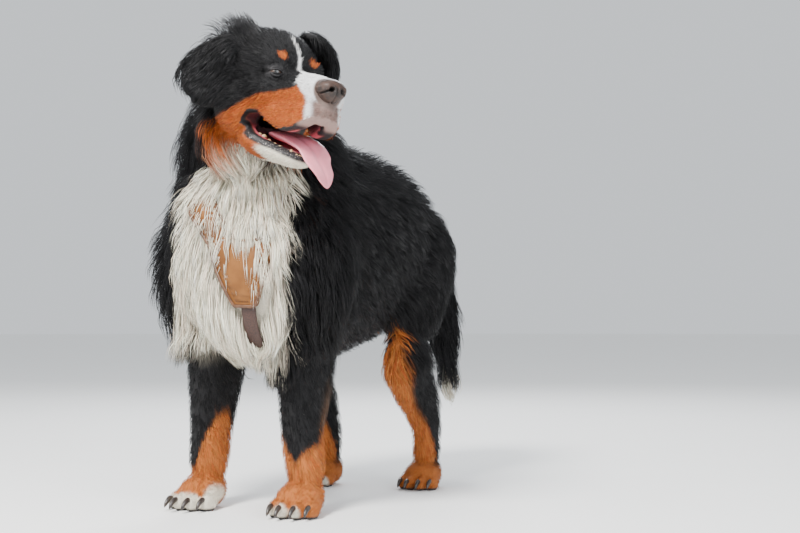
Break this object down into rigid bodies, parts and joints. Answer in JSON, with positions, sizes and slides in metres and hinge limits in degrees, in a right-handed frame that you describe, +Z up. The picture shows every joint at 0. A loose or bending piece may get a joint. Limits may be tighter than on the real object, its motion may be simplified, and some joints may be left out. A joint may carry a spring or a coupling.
{
  "type": "bernese mountain dog",
  "caption": "Life-size tricolour long-coated dog standing with its head turned to its left, mouth open, tongue out, in a padded chest harness.",
  "frame": {"origin": "on the floor, under the middle of the dog's plan", "axes": "+Z up, the dog's body points towards -Y (tail towards +Y), its left side is +X; the head is turned to the left"},
  "size_m": [0.5238, 0.954, 0.8743],
  "materials": {
    "black_coat": "long glossy black coat",
    "tan_coat": "shorter rust-tan coat",
    "white_coat": "cream-white coat",
    "nose_skin": "moist grained skin, satin",
    "tongue_skin": "wet skin, gloss",
    "eye_gloss": "gloss",
    "horn": "dark horn, satin",
    "camel_padding": "soft padded nubuck, matt",
    "brown_webbing": "dark strap, satin"
  },
  "bodies": {
    "root": {"trunk": "black_coat", "neck": "black_coat", "tail": "black_coat", "foreleg_left": "tan_coat", "thigh_left": "black_coat", "shank_left": "tan_coat", "foreleg_right": "tan_coat", "thigh_right": "black_coat", "shank_right": "tan_coat", "harness_front": "camel_padding", "harness_back_pad": "camel_padding", "harness_breast_strap": "brown_webbing", "harness_girth": "brown_webbing", "head": "black_coat", "lower_jaw": "white_coat", "tongue": "tongue_skin", "nose": "nose_skin", "eye_left": "eye_gloss", "eye_right": "eye_gloss", "ear_left": "black_coat", "ear_right": "black_coat", "forepaw_left": "white_coat", "claw_forepaw_left_1": "horn", "claw_forepaw_left_2": "horn", "claw_forepaw_left_3": "horn", "claw_forepaw_left_4": "horn", "forepaw_right": "white_coat", "claw_forepaw_right_1": "horn", "claw_forepaw_right_2": "horn", "claw_forepaw_right_3": "horn", "claw_forepaw_right_4": "horn", "hindpaw_left": "white_coat", "claw_hindpaw_left_1": "horn", "claw_hindpaw_left_2": "horn", "claw_hindpaw_left_3": "horn", "claw_hindpaw_left_4": "horn", "hindpaw_right": "white_coat", "claw_hindpaw_right_1": "horn", "claw_hindpaw_right_2": "horn", "claw_hindpaw_right_3": "horn", "claw_hindpaw_right_4": "horn"}
  },
  "joints": []
}
